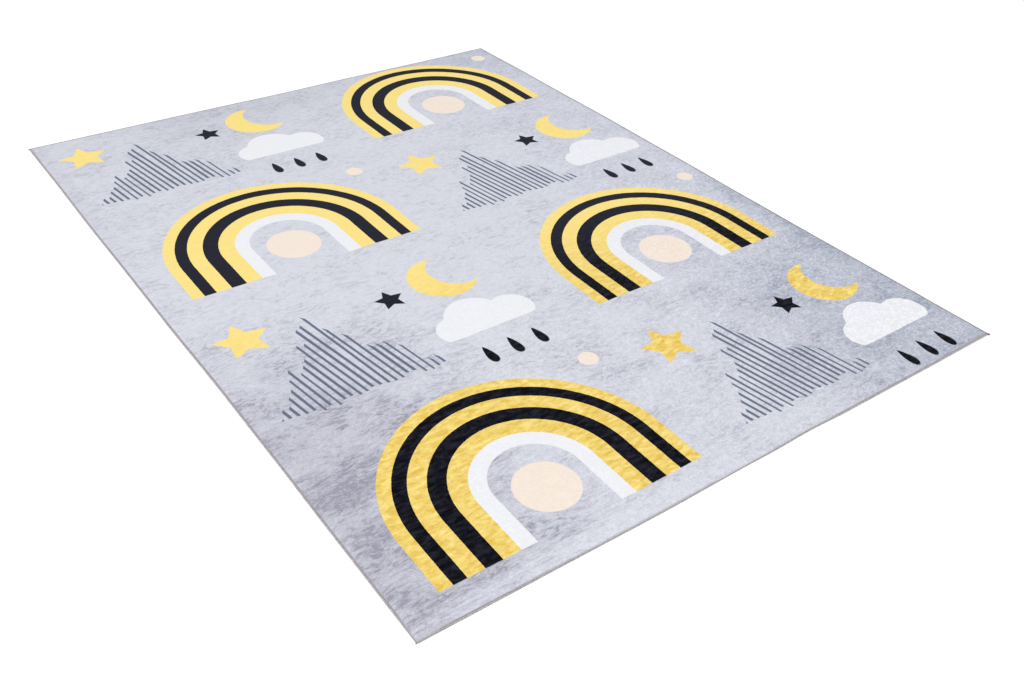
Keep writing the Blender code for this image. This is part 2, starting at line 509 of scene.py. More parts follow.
ground = {
    "pale": (0.612, 0.626, 0.692, 1),
    "darkLeft": (0.300, 0.295, 0.362, 1),
    "darkRight": (0.268, 0.300, 0.382, 1),
    "evenWear": 0.01,           # plain darkening all over, to which each area adds
    "patchWear": 0.23,          # strength of the clouds all over, likewise
    "markDrift": 0.050,         # how far the run of the marks wanders
    "wanderScale": 11.0,
    "markMiddle": 0.42,         # the marks' and the dashes' usual level
    "dashMiddle": 0.12,
    "dashWear": 0.16,
    "creaseShading": 0.9,
    # In pairs: away from what they follow, and where it is full.
    "cloudOnMarks": (0.32, 1.42),
    # the clouds fade in the painted highlight along the near border
    "patchInBorder": (1.0, 0.25),
    "dashNear": (0.55, 1.0),
    "dashRight": (1.0, 0.4),
    "markWear": (0.22, 0.14),   # this one follows near and right
    "lineInBorder": (0.40, 1.20),
    "inkNear": (0.12, 0.92),
}
# Areas of the rug: the u or v over which each one comes in, from none of it to all, how much it darkens
# the ground on top of the even wear (below zero it lightens it), and what it adds to the strength of the
# clouds. Two more numbers are its shares at those two places.
# The last two areas are only where the creases, with their painted light and shade, and the deeper ink lie.
areas = {
    "near": {"over": [("v", 0.10, -0.50)], "darken": 0.035, "patches": 0.128},
    "nearLeft": {"over": [("v", 0.0, -0.45), ("u", -0.18, -0.54)], "darken": 0.375, "patches": 0.5504},
    "nearRight": {"over": [("v", -0.15, -0.62), ("u", 0.12, 0.42)], "darken": 0.30},
    "farLeft": {"over": [("v", 0.05, 0.50), ("u", 0.20, -0.30)], "darken": 0.10},
    "right": {"over": [("u", 0.05, 0.50)], "darken": 0.150},
    "far": {"over": [("v", 0.50, 0.80), ("u", -0.45, -0.25, 0.25, 1)], "darken": 0.20},
    "rightBorder": {"over": [("u", 0.520, 0.590), ("v", 0.02, -0.18), ("v", -0.60, -0.42)], "darken": 0.27},
    "leftBorder": {"over": [("u", -0.560, -0.592), ("v", -0.30, -0.10)], "darken": 0.13},
    # A painted highlight along the roll of the near border: the ground is painted lighter there.
    "nearBorderHighlight": {"over": [("v", -0.762, -0.780), ("u", 0.05, -0.25), ("u", -0.59, -0.50, 0.35, 1)],
                   "darken": -0.165},
    # creased: the trough inside the near border's roll, with streaks of painted light and shade.
    "creased": {"over": [("v", -0.68, -0.74), ("u", -0.02, -0.22), ("v", -0.794, -0.784)]},
    "inked": {"over": [("v", -0.05, -0.35)]},
}
# The noises that the ground is made of: features for each metre, how many times narrower they are along
# v, so that they run across the rug, detail, roughness and distortion, and the range that counts.
textures = {
    "clouds": {"scale": 8.5, "stretch": 1.5, "kind": (5.0, 0.62), "range": (0.38, 0.66)},
    "marks": {"scale": 62.0, "stretch": 2.5, "kind": (5.0, 0.74, 0.5), "range": (0.44, 0.64)},
    "dashes": {"scale": 120.0, "stretch": 3.0, "kind": (3.0, 0.6, 0.6), "range": (0.50, 0.64)},
    "streaks": {"scale": 30.0, "stretch": 9.0, "kind": (4.0, 0.65)},
    "creases": {"scale": 13.0, "stretch": 18.0, "kind": (3.0, 0.6)},
    "inkTaken": {"scale": 48.0, "stretch": 2.4, "kind": (5.0, 0.72, 0.4),
                 "range": (0.36, 0.64, 0, 1, "LINEAR")},
}


def areaShare(u, v, name):
    runs = {"u": u, "v": v}
    return product(*[rescale(runs[run], *ends) for run, *ends in areas[name]["over"]])


def textureShare(place, name):
    texture = textures[name]
    squeezed = calcVector("MULTIPLY", place, (1, texture["stretch"], 1))
    value = noiseValue(squeezed, texture["scale"], *texture["kind"])
    return rescale(value, *texture["range"]) if "range" in texture else value


def buildGroundGroup():
    # The worn look printed under the motifs: pale, with clouds of short marks towards the near end.
    # Depth is for the inks over it, and Near goes from 0 at the far end to 1 at the near one.
    # It also holds painted light: a highlight along the near border's roll, and light and shade in the
    # creases.
    tree, given, result = newGroup("wornGround", {"Place": "Vector"},
                                   {"Shade": "Float", "Right": "Float", "Depth": "Float", "Near": "Float"})
    place = given["Place"]
    u, v, _ = splitVector(place)
    area = {name: areaShare(u, v, name) for name in areas}
    near, right, nearBorderHighlight = area["near"], area["right"], area["nearBorderHighlight"]
    wander = noiseVector(place, ground["wanderScale"])
    curved = calcVector("MULTIPLY_ADD", wander, (ground["markDrift"],) * 3, place)
    clouds = textureShare(place, "clouds")
    marks = textureShare(curved, "marks")
    dashes = product(between(near, *ground["dashNear"]), textureShare(curved, "dashes"),
                     between(right, *ground["dashRight"]))
    base, patches = ground["evenWear"], ground["patchWear"]
    for name, settings in areas.items():
        if "darken" in settings:
            base = calc("MULTIPLY_ADD", area[name], settings["darken"], base)
        if "patches" in settings:
            patches = calc("MULTIPLY_ADD", area[name], settings["patches"], patches)
    # The painted highlight along the near border also thins the clouds out.
    patches = product(patches, between(nearBorderHighlight, *ground["patchInBorder"]))
    cloudy = product(clouds, patches, between(marks, *ground["cloudOnMarks"]))
    markWear = between(calc("MAXIMUM", near, right), *ground["markWear"])
    specks = product(calc("SUBTRACT", marks, ground["markMiddle"]), markWear)
    specks = calc("MULTIPLY_ADD", calc("SUBTRACT", dashes, ground["dashMiddle"]),
                  ground["dashWear"], specks)
    streaks = calc("SUBTRACT", textureShare(place, "streaks"), 0.5)
    lines = product(streaks, between(nearBorderHighlight, *ground["lineInBorder"]))
    # Streaks of painted light and shade in the creases near the front edge.
    creases = calc("SUBTRACT", textureShare(place, "creases"), 0.5)
    lines = calc("MULTIPLY_ADD", creases, product(area["creased"], ground["creaseShading"]), lines)
    shade = calc("ADD", calc("ADD", cloudy, base), calc("ADD", specks, lines))
    depth = product(textureShare(place, "inkTaken"), between(area["inked"], *ground["inkNear"]))
    tree.links.new(addNode(tree, "ShaderNodeClamp", shade).outputs[0], result["Shade"])
    tree.links.new(addNode(tree, "ShaderNodeClamp", depth).outputs[0], result["Depth"])
    tree.links.new(right, result["Right"])
    tree.links.new(near, result["Near"])
    return tree


pile = {
    "curlScales": (66.0, 97.0),     # thin curved tufts: features for each metre
    "curlKind": (1.5, 0.5, 0.9),    # detail, roughness and distortion
    "curlWidth": 0.12,              # of their crests
    "curlMiddle": 0.26,             # their usual level
    "fibreScale": 640.0,
    "fibreKind": (2.0, 0.7),
    "paperDepth": 0.9,              # how much the tufts' painted light and shade, with the fibres' grain, change the ground, and then the print
    "inkDepth": 0.7,
    "inkLevel": 0.965,
    "curlBump": 0.6,                # height of the tufts, to the fibres' 1
    "bumpStrength": 0.5,
    "bumpDistance": 0.0005,
    "groove": (0.405, 0.385, 0.415, 1),   # painted shade on the pile beside the stitching
    "grooveDepth": 0.92,
    "grooveStart": 0.0032,          # inset from which it fades
    "farSideU": (0.45, 0.55),       # where the far sides begin, from none to all; there the painted shade reaches further in
    "farSideV": (0.70, 0.78),
    # In pairs: away from what they follow, and where it is full.
    "grooveEnd": (0.0044, 0.0078),  # inset by which it has faded, on the far sides
    "curlRight": (0.07, 0.18),
    "fibreRight": (0.28, 0.16),
    "tuftNear": (0.3, 1.0),
    "roughTufts": (0.4, 1.0),
}


def buildCurlGroup():
    # Thin curved tufts of brushed pile: 1 along their crests.
    tree, given, result = newGroup("curledTufts", {"Place": "Vector"}, {"Crest": "Float"})
    crests = []
    for scale in pile["curlScales"]:
        shifted = calcVector("ADD", given["Place"], (scale, 0, 0))
        field = noiseValue(shifted, scale, *pile["curlKind"])
        fromCrest = calc("ABSOLUTE", between(field, -1, 1))
        crests.append(rescale(fromCrest, 0, pile["curlWidth"], 1, 0))
    tree.links.new(calc("MAXIMUM", *crests), result["Crest"])
    return tree


def grooveShadeShare(place):
    # Share of painted shade on the pile: 1 beside the stitching, with a wider, softer end on the far sides.
    u, v, _ = splitVector(place)
    inset = calc("MINIMUM", calc("SUBTRACT", rug["width"] / 2, calc("ABSOLUTE", u)),
                 calc("SUBTRACT", rug["length"] / 2, calc("ABSOLUTE", v)))
    farSide = calc("MAXIMUM", rescale(u, *pile["farSideU"]), rescale(v, *pile["farSideV"]))
    grooveEnd = between(farSide, *pile["grooveEnd"])
    share = rescale(inset, grooveEnd, pile["grooveStart"], 0, pile["grooveDepth"])
    return product(share, tightened(place, "groove"))


def buildPileMaterial():
    material, tree, shader = newMaterial("printedPile", roughness=0.92, specular=0.05, sheen=0.02,
                                         sheenRoughness=0.45)
    place = addNode(tree, "ShaderNodeUVMap", uv_map="cloth").outputs["UV"]
    worn = addNode(tree, "ShaderNodeGroup", place, node_tree=buildGroundGroup()).outputs
    crest = addNode(tree, "ShaderNodeGroup", place, node_tree=buildCurlGroup()).outputs["Crest"]
    grain = noiseValue(place, pile["fibreScale"], *pile["fibreKind"])
    right, near = worn["Right"], worn["Near"]
    tufted = product(right, between(near, *pile["tuftNear"]))
    rough = between(calc("MAXIMUM", near, tufted), *pile["roughTufts"])
    # Painted light and shade of the tufts: lighter on their crests, darker between them, with the fibres'
    # grain.
    curls = product(calc("SUBTRACT", crest, pile["curlMiddle"]), between(right, *pile["curlRight"]))
    fibres = product(calc("SUBTRACT", grain, 0.5), between(right, *pile["fibreRight"]))
    uneven = product(calc("ADD", curls, fibres), rough)
    dark = mixColours(right, ground["darkLeft"], ground["darkRight"])
    paper = dimmed(mixColours(worn["Shade"], ground["pale"], dark),
                   calc("MULTIPLY_ADD", uneven, pile["paperDepth"], 1.0))
    printed = addNode(tree, "ShaderNodeGroup", place, paper, worn["Depth"], node_tree=buildPrintGroup())
    toned = dimmed(printed.outputs["Color"],
                   calc("MULTIPLY_ADD", uneven, pile["inkDepth"], pile["inkLevel"]))
    # Painted shade on the pile beside the stitching.
    colour = mixColours(grooveShadeShare(place), toned, pile["groove"])
    tree.links.new(colour, shader.inputs["Base Color"])
    relief = calc("MULTIPLY_ADD", crest, pile["curlBump"], grain)
    addBump(shader, relief, pile["bumpStrength"], pile["bumpDistance"])
    return material


backing = {
    "light": (0.560, 0.545, 0.510, 1),
    "dark": (0.330, 0.320, 0.300, 1),
    "threadPitch": 0.0011,
    "threadRange": (0.05, 0.70),    # of the threads' height, over which they turn from painted shade to light
    "slubScale": 90.0,              # uneven places in the threads, and how far they push them aside
    "slubDrift": 0.0009,
    "bumpStrength": 0.8,
    "bumpDistance": 0.0003,
}


def buildBackingMaterial():
    # Plain weave of undyed cotton and polyester under the pile.
    material, tree, shader = newMaterial("wovenBacking", roughness=0.88)
    place = addNode(tree, "ShaderNodeUVMap", uv_map="cloth").outputs["UV"]
    wander = noiseValue(place, backing["slubScale"])
    slub = calcVector("MULTIPLY_ADD", wander, (backing["slubDrift"],) * 3, place)
    u, v, _ = splitVector(slub)
    warp, weft = [calc("SINE", product(run, pi / backing["threadPitch"])) for run in (u, v)]
    height = calc("ABSOLUTE", product(warp, weft))
    # Painted shade where the threads dip between the crossings.
    colour = mixColours(rescale(height, *backing["threadRange"]), backing["dark"], backing["light"])
    tree.links.new(colour, shader.inputs["Base Color"])
    addBump(shader, height, backing["bumpStrength"], backing["bumpDistance"])
    return material


# The cloth's edge in section, from the pile side round to the underside: inset and height.
# The stitching pulls a groove beside itself and presses the edge into a thin tongue.
edgeSection = [
    (0.0056, 0.00265), (0.0048, 0.00250), (0.0041, 0.00228), (0.0036, 0.00185), (0.0031, 0.00125),
    (0.0027, 0.00108), (0.0018, 0.00118), (0.0012, 0.00108), (0.0012, 0.00080), (0.0018, 0.00072),
    (0.0027, 0.00072), (0.0034, 0.00030), (0.0046, 0.00000),
]
backingStarts = 7               # the first band of the section that shows the backing


def gridPlaces(inset, columns, rows):
    # u and v of a grid that stops that far in from the edge, row by row.
    halfU = rug["width"] / 2 - inset
    halfV = rug["length"] / 2 - inset
    u, v = np.meshgrid(np.linspace(-halfU, halfU, columns + 1), np.linspace(-halfV, halfV, rows + 1))
    return u.ravel(), v.ravel()


def gridBorder(columns, rows):
    # Indices of a grid's border points, anticlockwise from the near left corner.
    wide = columns + 1
    near = list(range(columns))
    right = [row * wide + columns for row in range(rows)]
    far = [rows * wide + column for column in range(columns, 0, -1)]
    left = [row * wide for row in range(rows, 0, -1)]
    return near + right + far + left


def ringPlaces(inset, columns, rows):
    u, v = gridPlaces(inset, columns, rows)
    border = gridBorder(columns, rows)
    return u[border], v[border]


def gridFaces(columns, rows, start, upwards):
    wide = columns + 1
    faces = []
    for row in range(rows):
        for column in range(columns):
            first = start + row * wide + column
            face = (first, first + 1, first + 1 + wide, first + wide)
            faces.append(face if upwards else face[::-1])
    return faces


def pileHeights(u, v):
    # Over the underside: pressed down beside the stitching, and a little uneven.
    inset = np.minimum(rug["width"] / 2 - abs(u), rug["length"] / 2 - abs(v))
    share = np.clip((inset - rug["stitchedBorder"]) / rug["borderRise"], 0, 1)
    risen = rug["borderThickness"] + (rug["thickness"] - rug["borderThickness"]) * share * (2 - share)
    size, times, depth = rug["reliefSize"], rug["fineTimes"], rug["fineSlice"]
    broad = [noise.noise(Vector((a / size, b / size, 0))) for a, b in zip(u, v)]
    fine = [noise.noise(Vector((times * a / size, times * b / size, depth))) for a, b in zip(u, v)]
    return risen + (np.array(broad) + rug["fineShare"] * np.array(fine)) * rug["reliefRise"]


def buildCloth(materials):
    columns, rows, step = rug["columns"], rug["rows"], rug["backingStep"]
    places = [gridPlaces(rug["gridInset"], columns, rows)]
    heights = [pileHeights(*places[0])]
    loops = [gridBorder(columns, rows)]
    count = len(places[0][0])
    for inset, height in edgeSection:
        places.append(ringPlaces(inset, columns, rows))
        size = len(places[-1][0])
        heights.append(np.full(size, height))
        loops.append(list(range(count, count + size)))
        count += size
    faces = gridFaces(columns, rows, 0, upwards=True)
    sides = [0] * len(faces)
    for band, (inner, outer) in enumerate(zip(loops, loops[1:])):
        size = len(inner)
        faces += [(inner[i], outer[i], outer[(i + 1) % size], inner[(i + 1) % size]) for i in range(size)]
        sides += [int(band >= backingStarts)] * size
    places.append(gridPlaces(rug["gridInset"], columns // step, rows // step))
    heights.append(np.zeros(len(places[-1][0])))
    border = [count + i for i in gridBorder(columns // step, rows // step)]
    last = loops[-1] + loops[-1][:1]
    for i, point in enumerate(border):
        fine = last[i * step: (i + 1) * step + 1]
        faces.append((point, border[(i + 1) % len(border)], *fine[::-1]))
    faces += gridFaces(columns // step, rows // step, count, upwards=False)
    sides += [1] * (len(faces) - len(sides))
    u = np.concatenate([p[0] for p in places])
    v = np.concatenate([p[1] for p in places])
    points = layCloth(u, v, np.concatenate(heights))
    mesh = bpy.data.meshes.new("rugCloth")
    mesh.from_pydata(points.tolist(), [], faces)
    for material in materials:
        mesh.materials.append(material)
    mesh.polygons.foreach_set("material_index", sides)
    mesh.shade_smooth()
    addClothMaps(mesh, u, v, np.array(sides))
    mesh.validate()
    return addObject("rugCloth", mesh)


# Where each side of the cloth lies in the square map: its share of the square, and its corner.
mapLayout = {
    "topShare": 0.96,           # of the length
    "underShare": 0.24,         # of the width
    "topCorner": (0.01, 0.02),
    "underCorner": (0.74, 0.02),
}


def addClothMaps(mesh, u, v, sides):
    # "cloth" holds u and v in metres for the print; the other lays both sides out in a square.
    corner = np.zeros(len(mesh.loops), int)
    mesh.loops.foreach_get("vertex_index", corner)
    total = np.zeros(len(mesh.polygons), int)
    mesh.polygons.foreach_get("loop_total", total)
    under = np.repeat(sides, total).astype(bool)
    place = np.stack([u[corner], v[corner]], axis=-1)
    cloth = mesh.uv_layers.new(name="cloth")
    cloth.data.foreach_set("uv", place.ravel())
    fromCorner = place + (rug["width"] / 2, rug["length"] / 2)
    top = fromCorner * (mapLayout["topShare"] / rug["length"]) + mapLayout["topCorner"]
    below = fromCorner * (mapLayout["underShare"] / rug["width"]) + mapLayout["underCorner"]
    flat = mesh.uv_layers.new(name="OFBake")
    flat.data.foreach_set("uv", np.where(under[:, None], below, top).ravel())


rugCloth = buildCloth([buildPileMaterial(), buildBackingMaterial()])
print("cloth made:", len(rugCloth.data.polygons), "faces")


overlock = {
    "Pitch": 0.0022,            # from stitch to stitch
    "Reach": rug["stitchedBorder"],
    "Height": 0.0020,           # from over the pile side to under the backing
    "Yarn Thickness": 0.0006,
    "Yarn Width": 0.0020,
    "Slant": 0.0012,            # along the edge, from the rim to the needle line
    "Thread": 0.0004,           # thickness of the needle's and the rim's threads
    "Seed": 3,
}
stitchShape = {
    "wrapTurn": radians(138),   # how far round a stitch goes from the rim, up and down
    "wrapSquareness": 0.62,     # 1 would be an ellipse
    "wrapShare": 0.56,          # its half-width, as a share of the reach
    "needleInset": 0.97,        # as a share of the reach
    "rimInset": 0.8,            # in half thicknesses of the yarn
    "rimSpan": 1.15,            # length of a rim thread in pitches, so that they overlap
    "rimRise": 0.34,            # as a share of the height
    "wrapPoints": 9,            # along a path
    "threadPoints": 4,
    "wrapSides": 6,             # round a tube
    "threadSides": 5,
}
# Unevenness by hand and machine, as the least and the most: size, and turn in radians, along X, Y and Z.
stitchSize = ((0.93, 0.86, 0.95), (1.07, 1.10, 1.04))
stitchLean = ((-0.05, -0.06, -0.10), (0.05, 0.06, 0.10))


def sweepTube(path, thickness, sides):
    tree = treeOf(path)
    ring = addNamed(tree, "GeometryNodeCurvePrimitiveCircle",
                    {"Resolution": sides, "Radius": product(thickness, 0.5)}, mode="RADIUS")
    tube = addNamed(tree, "GeometryNodeCurveToMesh",
                    {"Curve": path, "Profile Curve": ring.outputs["Curve"], "Fill Caps": True})
    return tube.outputs["Mesh"]


def shapedPath(tree, points, shape):
    # A path of that many points whose place is worked out from its share, 0 at its start to 1.
    line = addNode(tree, "GeometryNodeCurvePrimitiveLine").outputs["Curve"]
    resampled = addNamed(tree, "GeometryNodeResampleCurve", {"Curve": line, "Count": points})
    share = addNode(tree, "GeometryNodeSplineParameter").outputs["Factor"]
    placed = addNamed(tree, "GeometryNodeSetPosition",
                      {"Geometry": resampled.outputs["Curve"], "Position": joinVector(*shape(share))})
    return placed.outputs["Geometry"]


def signedPower(value):
    size = calc("POWER", calc("ABSOLUTE", value), stitchShape["wrapSquareness"])
    return product(size, calc("SIGN", value))


def buildOverlockTree():
    # X points out of the rug, Y along its edge and Z up, from the foot of the rim.
    inputs = {"Edge": "Geometry", **{name: "Float" for name in overlock}, "Seed": "Int", "Yarn": "Material"}
    tree, given, result = newGroup("overlockStitches", inputs, {"Stitches": "Geometry"}, "GeometryNodeTree")
    halfYarn = product(given["Yarn Thickness"], 0.5)
    middle = product(given["Height"], 0.5)
    wrapReach = calc("SUBTRACT", given["Reach"], halfYarn)
    halfWide = product(wrapReach, stitchShape["wrapShare"])
    halfTall = calc("SUBTRACT", middle, halfYarn)
    flatten = calc("DIVIDE", given["Yarn Width"], given["Yarn Thickness"])

    def wrapShape(share):
        fromRim = between(share, -1, 1)
        turn = product(fromRim, stitchShape["wrapTurn"])
        out = signedPower(calc("COSINE", turn))
        up = signedPower(calc("SINE", turn))
        x = calc("SUBTRACT", product(calc("SUBTRACT", out, 1), halfWide), halfYarn)
        y = calc("DIVIDE", product(fromRim, given["Slant"]), flatten)
        return x, y, calc("MULTIPLY_ADD", up, halfTall, middle)

    def needleShape(share):
        arc = calc("SINE", product(share, pi))
        x = product(given["Reach"], -stitchShape["needleInset"])
        y = product(calc("SUBTRACT", share, 0.5), given["Pitch"])
        foot = calc("SUBTRACT", given["Height"], given["Yarn Thickness"])
        return x, y, calc("MULTIPLY_ADD", arc, given["Thread"], foot)

    def rimShape(share):
        arc = calc("SINE", product(share, pi))
        inset = product(halfYarn, -stitchShape["rimInset"])
        x = calc("MULTIPLY_ADD", arc, given["Thread"], inset)
        along = calc("SUBTRACT", share, 0.5)
        y = product(given["Pitch"], stitchShape["rimSpan"], along)
        rise = product(given["Height"], stitchShape["rimRise"])
        return x, y, calc("MULTIPLY_ADD", along, rise, middle)

    wrapPath = shapedPath(tree, stitchShape["wrapPoints"], wrapShape)
    wrap = sweepTube(wrapPath, given["Yarn Thickness"], stitchShape["wrapSides"])
    widened = addNamed(tree, "GeometryNodeTransform",
                       {"Geometry": wrap, "Scale": joinVector(1.0, flatten, 1.0)})
    needle, rim = [sweepTube(shapedPath(tree, stitchShape["threadPoints"], shape), given["Thread"],
                             stitchShape["threadSides"]) for shape in (needleShape, rimShape)]
    joined = addNode(tree, "GeometryNodeJoinGeometry")
    for part in (rim, needle, widened.outputs["Geometry"]):
        tree.links.new(part, joined.inputs[0])
    position = addNode(tree, "GeometryNodeInputPosition").outputs[0]
    stitch = addNamed(tree, "GeometryNodeStoreNamedAttribute",
                      {"Geometry": joined.outputs[0], "Name": "yarnPlace", "Value": position},
                      data_type="FLOAT_VECTOR", domain="POINT")
    painted = stitchAlong(tree, given, stitch.outputs["Geometry"])
    tree.links.new(painted, result["Stitches"])
    return tree


def stitchAlong(tree, given, stitch):
    # Stitches along the edge, each turned to it and a little uneven.
    edge = addNamed(tree, "GeometryNodeResampleCurve", {"Curve": given["Edge"], "Length": given["Pitch"]},
                    mode="LENGTH").outputs["Curve"]
    tangent = addNode(tree, "GeometryNodeInputTangent").outputs[0]
    facing = addNamed(tree, "FunctionNodeAxesToRotation",
                      {"Primary Axis": tangent, "Secondary Axis": (0, 0, 1)},
                      primary_axis="Y", secondary_axis="Z")
    spread = addNode(tree, "FunctionNodeRandomValue", *stitchSize, None, given["Seed"],
                     data_type="FLOAT_VECTOR")
    position = addNode(tree, "GeometryNodeInputPosition").outputs[0]
    drawn = joinVector(tightened(position, "reach"), 1.0, tightened(position, "height"))
    size = calcVector("MULTIPLY", spread.outputs["Value"], drawn)
    placed = addNamed(tree, "GeometryNodeInstanceOnPoints", {
        "Points": edge, "Instance": stitch, "Rotation": facing.outputs["Rotation"], "Scale": size})
    lean = addNode(tree, "FunctionNodeRandomValue", *stitchLean, None, calc("ADD", given["Seed"], 1),
                   data_type="FLOAT_VECTOR")
    turned = addNamed(tree, "GeometryNodeRotateInstances",
                      {"Instances": placed.outputs["Instances"], "Rotation": lean.outputs["Value"]})
    chance = addNode(tree, "FunctionNodeRandomValue", 0.0, 1.0, None, calc("ADD", given["Seed"], 2),
                     data_type="FLOAT")
    tint = next(s for s in chance.outputs if s.enabled)
    tinted = addNamed(tree, "GeometryNodeStoreNamedAttribute",
                      {"Geometry": turned.outputs["Instances"], "Name": "yarnTintAndEndShade", "Value": tint},
                      data_type="FLOAT", domain="INSTANCE")
    realized = addNode(tree, "GeometryNodeRealizeInstances", tinted.outputs["Geometry"])
    smooth = addNode(tree, "GeometryNodeSetShadeSmooth", realized.outputs["Geometry"])
    painted = addNamed(tree, "GeometryNodeSetMaterial",
                       {"Geometry": smooth.outputs["Geometry"], "Material": given["Yarn"]})
    return painted.outputs["Geometry"]


yarn = {
    "colour": (0.580, 0.540, 0.562, 1),
    "shade": (0.385, 0.350, 0.370, 1),
    "needle": (0.330, 0.300, 0.318, 1),   # the darker thread along the needle line, with painted shade in the groove there; also painted shade low on the rim
    "twist": 1900.0,            # plies for each metre of yarn
    "twistSlant": 0.9,          # how far they slant along the edge
    "fuzzScale": 2600.0,
    "fuzzKind": (2.0, 0.6),     # detail and roughness
    "fuzzHeight": 1.2,          # of the fuzz and of the plies
    "plyHeight": 0.5,
    "tintLevel": 0.45,          # how much each stitch's tint and the height lighten it; the height's part is painted light on the plies and fuzz, painted shade between them
    "heightLevel": 0.45,
    "levelRange": (0.0, 0.8),   # of both together, over which it turns from shade to colour
    "needleX": (-0.0013, -0.0019),   # where the needle line's colour comes in
    "rimZ": (0.0011, 0.0003),   # and where painted shade comes in low on the rim
    "rimShare": 0.8,
    "cutEndShade": 0.5,            # of its colour kept in the cut ends, which are painted in shade
    "bumpStrength": 0.7,
    "bumpDistance": 0.00015,
}


def buildYarnMaterial():
    # Matt textured polyester: slanting plies with painted shade between them, each stitch a little different.
    material, tree, shader = newMaterial("overlockYarn", roughness=0.85, sheen=0.25, sheenRoughness=0.4)
    place = addNode(tree, "ShaderNodeAttribute", attribute_name="yarnPlace").outputs["Vector"]
    tint = addNode(tree, "ShaderNodeAttribute", attribute_name="yarnTintAndEndShade").outputs["Fac"]
    x, y, z = splitVector(place)
    run = calc("ADD", calc("ADD", x, z), product(y, yarn["twistSlant"]))
    plies = calc("SINE", product(run, yarn["twist"] * 2 * pi))
    world = addNode(tree, "ShaderNodeTexCoord").outputs["Object"]
    fuzz = noiseValue(world, yarn["fuzzScale"], *yarn["fuzzKind"])
    height = calc("MULTIPLY_ADD", fuzz, yarn["fuzzHeight"], product(plies, yarn["plyHeight"]))
    # Painted light and shade: the plies are lighter on top and darker between them.
    level = calc("MULTIPLY_ADD", tint, yarn["tintLevel"], product(height, yarn["heightLevel"]))
    colour = mixColours(rescale(level, *yarn["levelRange"]), yarn["shade"], yarn["colour"])
    # Painted shade low on the rim, and painted shade with a darker thread along the needle line.
    rimShade = product(rescale(z, *yarn["rimZ"]), yarn["rimShare"])
    dark = calc("MAXIMUM", rescale(x, *yarn["needleX"]), rimShade)
    colour = mixColours(dark, colour, yarn["needle"])
    # The cut ends are dimmed as painted shade.
    colour = dimmed(colour, rescale(tint, -1, 0, yarn["cutEndShade"], 1))
    tree.links.new(colour, shader.inputs["Base Color"])
    addBump(shader, height, yarn["bumpStrength"], yarn["bumpDistance"])
    return material


def edgeLine(side):
    # The foot of one side of the cloth, anticlockwise round the rug. The long sides stop at the short ones'.
    halfWidth, halfLength = rug["width"] / 2, rug["length"] / 2
    shortEnd = halfWidth - overlock["Yarn Width"] / 2
    longEnd = halfLength - overlock["Reach"] - overlock["Yarn Width"] / 2
    pointCount = 161            # one for each 7.5 mm of a short side
    fromShort = np.linspace(-shortEnd, shortEnd, pointCount)
    fromLong = np.linspace(-longEnd, longEnd, pointCount)
    flat = {
        "front": (fromShort, np.full(pointCount, -halfLength)),
        "right": (np.full(pointCount, halfWidth), fromLong),
        "back": (fromShort[::-1], np.full(pointCount, halfLength)),
        "left": (np.full(pointCount, -halfWidth), fromLong[::-1]),
    }[side]
    curve = bpy.data.curves.new("edge_" + side, "CURVE")
    curve.dimensions = "3D"
    spline = curve.splines.new("POLY")
    spline.points.add(pointCount - 1)
    places = layCloth(*flat, np.zeros(pointCount))
    spline.points.foreach_set("co", np.column_stack([places, np.ones(pointCount)]).ravel())
    return addObject("edge_" + side, curve)


def stitchSide(side, stitchTree, material):
    line = edgeLine(side)
    modifier = line.modifiers.new("stitches", "NODES")
    modifier.node_group = stitchTree
    named = {item.name: item.identifier for item in stitchTree.interface.items_tree
             if item.in_out == "INPUT"}
    for name, value in overlock.items():
        modifier[named[name]] = value
    modifier[named["Yarn"]] = material
    bpy.context.view_layer.update()
    seen = line.evaluated_get(bpy.context.evaluated_depsgraph_get())
    mesh = bpy.data.meshes.new_from_object(seen)
    mesh.name = "overlockStitches_" + side
    mesh.materials.pop(index=0)    # the curve's own, which is empty
    bpy.data.objects.remove(line)
    return addObject(mesh.name, mesh)


# Ends of the overlock chain, cut short where two runs meet: where, which way, and how much they bend.
threadEnds = {
    "front": [
        {"place": (0.5955, -0.7985, 0.0019), "heading": -30, "bend": -10, "length": 0.0066, "radius": 0.0013},
        {"place": (0.5960, -0.7975, 0.0013), "heading": -38, "bend": 15, "length": 0.0076, "radius": 0.0014},
        {"place": (0.5958, -0.7990, 0.0011), "heading": -22, "bend": -20, "length": 0.0062, "radius": 0.0012},
    ],
    "left": [
        {"place": (-0.5992, 0.7980, 0.0010), "heading": 150, "bend": 20, "length": 0.0042, "radius": 0.0006},
        {"place": (-0.5990, 0.7985, 0.0007), "heading": 118, "bend": 40, "length": 0.0034, "radius": 0.0005},
        {"place": (-0.5990, -0.7980, 0.0008), "heading": 215, "bend": 20, "length": 0.0030, "radius": 0.0005},
    ],
}


